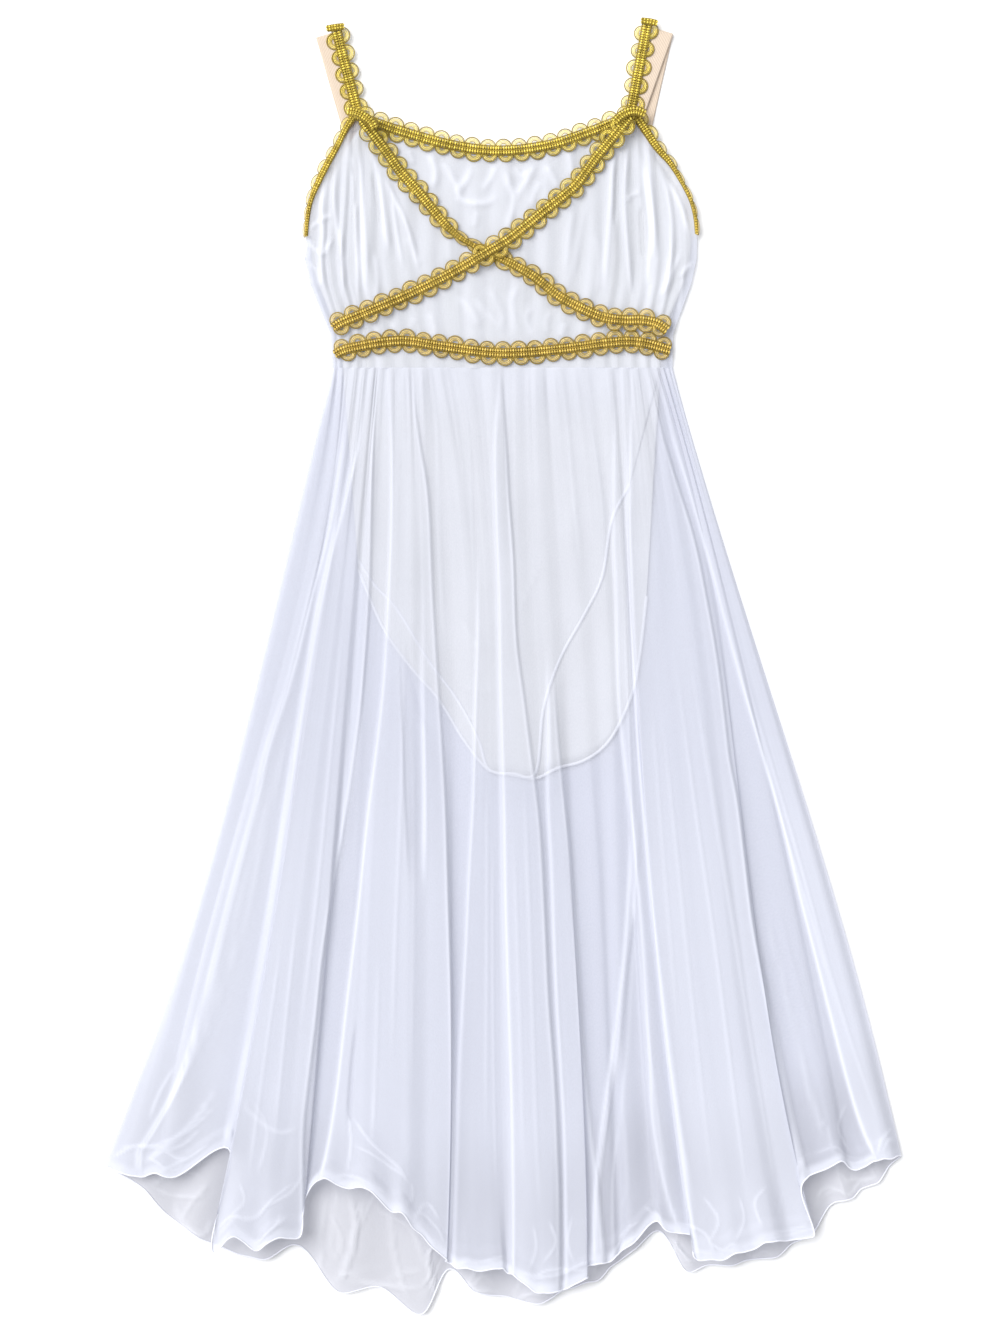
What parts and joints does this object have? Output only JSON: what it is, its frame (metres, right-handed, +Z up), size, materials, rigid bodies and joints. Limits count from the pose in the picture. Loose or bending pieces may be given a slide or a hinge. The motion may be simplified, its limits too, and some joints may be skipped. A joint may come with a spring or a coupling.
{
  "type": "lyrical dance costume, laid flat",
  "caption": "Child's lyrical dance dress in white sheer mesh over a leotard, with scalloped gold braid crossed over the bodice, laid flat on its back.",
  "frame": {"origin": "middle of the underside, on the surface that the garment lies on", "axes": "+X to the right of the front as seen from above, +Y from the hem to the straps, +Z up from the surface"},
  "size_m": [0.5252, 0.8493, 0.0204],
  "materials": {
    "sheer_mesh": "sheer matt mesh",
    "leotard_knit": "matt stretch knit",
    "gold_braid": "metallic thread",
    "nude_elastic": "satin elastic"
  },
  "bodies": {
    "root": {"skirt_back": "sheer_mesh", "bodice_back": "sheer_mesh", "leotard_back": "leotard_knit", "leotard_front": "leotard_knit", "skirt_front": "sheer_mesh", "bodice_front": "sheer_mesh", "strap_left": "nude_elastic", "strap_right": "nude_elastic", "strap_trim_left": "gold_braid", "strap_trim_right": "gold_braid", "armhole_trim_left": "gold_braid", "armhole_trim_right": "gold_braid", "neck_trim": "gold_braid", "waist_trim": "gold_braid", "cross_trim_under": "gold_braid", "cross_trim_over": "gold_braid"}
  },
  "joints": []
}
